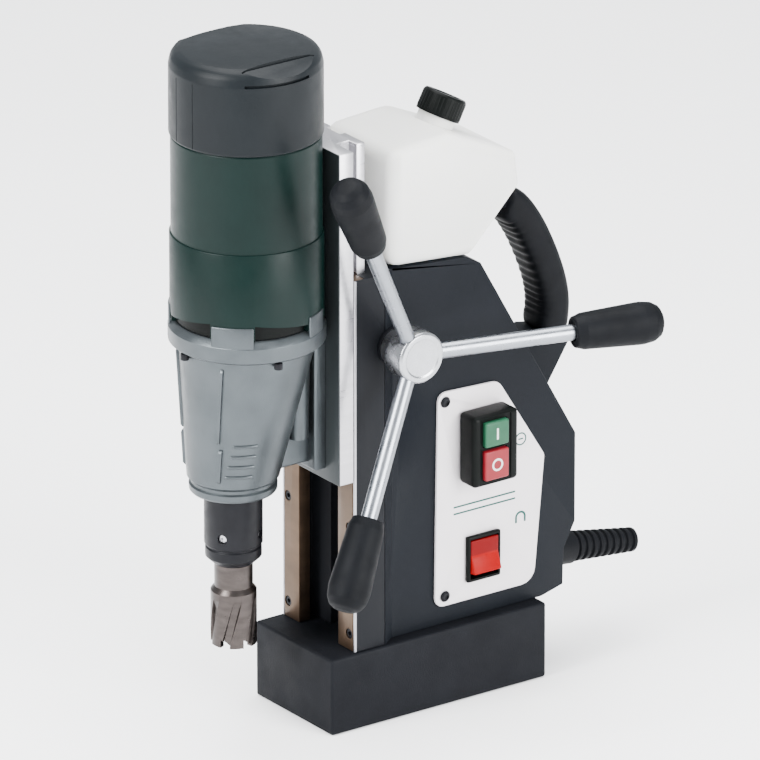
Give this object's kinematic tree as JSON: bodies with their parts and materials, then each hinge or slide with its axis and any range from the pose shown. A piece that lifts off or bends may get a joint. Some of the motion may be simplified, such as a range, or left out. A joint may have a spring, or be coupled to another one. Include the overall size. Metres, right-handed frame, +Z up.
{
  "type": "magnetic drill press",
  "caption": "Portable drill on a magnetic stand: a motor carriage on a rack-fed slide, star feed handle, coolant tank, carry handle and push-button control panel.",
  "frame": {"origin": "centre of the magnet's bottom face", "axes": "+Z up along the slide and the spindle, -Y towards the drill, +X towards the control panel and the feed handles"},
  "size_m": [0.1559, 0.3321, 0.441],
  "materials": {
    "foot_paint": "satin dark grey paint",
    "housing_paint": "fine textured charcoal paint",
    "machined_steel": "ground steel",
    "blackened_steel": "blackened steel",
    "tool_steel": "bare tool steel",
    "brass": "machined brass",
    "copper_winding": "enamelled winding",
    "cast_aluminium": "painted cast aluminium",
    "green_shell": "fine-grained moulded plastic",
    "dark_shell": "fine-grained moulded plastic",
    "switch_plastic": "moulded plastic",
    "panel": "printed panel",
    "tank_plastic": "translucent blow-moulded plastic",
    "grip_rubber": "soft rubber",
    "chrome": "chrome plate",
    "green_button": "moulded plastic",
    "red_button": "moulded plastic",
    "red_rocker": "translucent moulded plastic",
    "circuit": "circuit board laminate"
  },
  "bodies": {
    "stand": {"magnet_body": "foot_paint", "coil_front": "copper_winding", "coil_rear": "copper_winding", "slot_cover_front": "brass", "slot_cover_rear": "brass", "stand_housing": "housing_paint", "guide_column": "machined_steel", "gib_left": "brass", "gib_right": "brass", "gib_screw_left_1": "blackened_steel", "gib_screw_left_2": "blackened_steel", "gib_screw_right_1": "blackened_steel", "gib_screw_right_2": "blackened_steel", "feed_bushing_left": "brass", "feed_bushing_right": "brass", "control_panel": "panel", "panel_screw_1": "blackened_steel", "panel_screw_2": "blackened_steel", "switch_block": "switch_plastic", "rocker_frame": "switch_plastic", "circuit_board": "circuit", "coolant_tank": "tank_plastic", "handle_bar": "blackened_steel", "handle_grip": "grip_rubber", "strain_relief": "grip_rubber"},
    "carriage": {"slide_plate": "machined_steel", "feed_rack": "tool_steel", "gear_case": "cast_aluminium", "gear_cover": "cast_aluminium", "motor_housing": "green_shell", "motor_cap": "dark_shell", "stator": "copper_winding", "spindle_bearing_lower": "machined_steel", "spindle_bearing_upper": "machined_steel", "motor_bearing_lower": "machined_steel", "motor_bearing_upper": "machined_steel"},
    "feed_star": {"feed_pinion_shaft": "tool_steel", "feed_shaft_cap": "dark_shell", "feed_hub": "chrome", "feed_rod_1": "chrome", "feed_rod_2": "chrome", "feed_rod_3": "chrome", "feed_grip_1": "grip_rubber", "feed_grip_2": "grip_rubber", "feed_grip_3": "grip_rubber"},
    "spindle_unit": {"spindle": "machined_steel", "spindle_gear": "tool_steel", "arbor": "blackened_steel", "annular_cutter": "tool_steel"},
    "pilot": {"pilot_pin": "tool_steel", "pilot_spring": "machined_steel"},
    "layshaft_unit": {"layshaft": "tool_steel"},
    "rotor": {"armature": "machined_steel", "cooling_fan": "dark_shell"},
    "start": {"start_button": "green_button"},
    "stop": {"stop_button": "red_button"},
    "rocker": {"magnet_rocker": "red_rocker"},
    "cap_seal": {"tank_cap_seal": "grip_rubber"},
    "cap": {"tank_cap": "dark_shell"}
  },
  "joints": [
    {"name": "slide_travel", "type": "slide", "parent": "stand", "child": "carriage", "axis": [0, 0, 1], "range_m": [-0.105, 0.05]},
    {"name": "feed_turn", "type": "hinge", "parent": "stand", "child": "feed_star", "pos_m": [0, -0.032, 0.2425], "axis": [1, 0, 0], "range_deg": [-240, 502]},
    {"name": "spindle_spin", "type": "hinge", "parent": "carriage", "child": "spindle_unit", "pos_m": [0, -0.124, 0.159], "axis": [0, 0, 1], "continuous": true},
    {"name": "layshaft_spin", "type": "hinge", "parent": "carriage", "child": "layshaft_unit", "pos_m": [-0.01984, -0.11094, 0.262], "axis": [0, 0, 1], "continuous": true},
    {"name": "armature_spin", "type": "hinge", "parent": "carriage", "child": "rotor", "pos_m": [0, -0.1135, 0.268], "axis": [0, 0, 1], "continuous": true},
    {"name": "pilot_slide", "type": "slide", "parent": "spindle_unit", "child": "pilot", "axis": [0, 0, 1], "range_m": [0, 0.028], "stiffness_N_per_m": 350, "springref_m": -0.01, "deforming": ["pilot_spring"]},
    {"name": "start_press", "type": "slide", "parent": "stand", "child": "start", "axis": [-1, 0, 0], "range_m": [0, 0.003], "stiffness_N_per_m": 600, "springref_m": -0.002},
    {"name": "stop_press", "type": "slide", "parent": "stand", "child": "stop", "axis": [-1, 0, 0], "range_m": [0, 0.003], "stiffness_N_per_m": 600, "springref_m": -0.002},
    {"name": "rocker_tilt", "type": "hinge", "parent": "stand", "child": "rocker", "pos_m": [0.029, 0.036, 0.0885], "axis": [0, 1, 0], "range_deg": [0, 20]},
    {"name": "cap_lift", "type": "slide", "parent": "stand", "child": "cap_seal", "axis": [0, 0.4695, 0.8829], "range_m": [0, 0.012]},
    {"name": "cap_turn", "type": "hinge", "parent": "cap_seal", "child": "cap", "pos_m": [0, 0.0234, 0.3594], "axis": [0, 0.4695, 0.8829], "range_deg": [0, 1080]}
  ],
  "couplings": [
    {"joint": "feed_turn", "follows": "slide_travel", "rad_per_m": -83.333},
    {"joint": "layshaft_spin", "follows": "spindle_spin", "ratio": -2.8},
    {"joint": "armature_spin", "follows": "spindle_spin", "ratio": 8.4},
    {"joint": "cap_lift", "follows": "cap_turn", "m_per_rad": 0.00063662}
  ]
}
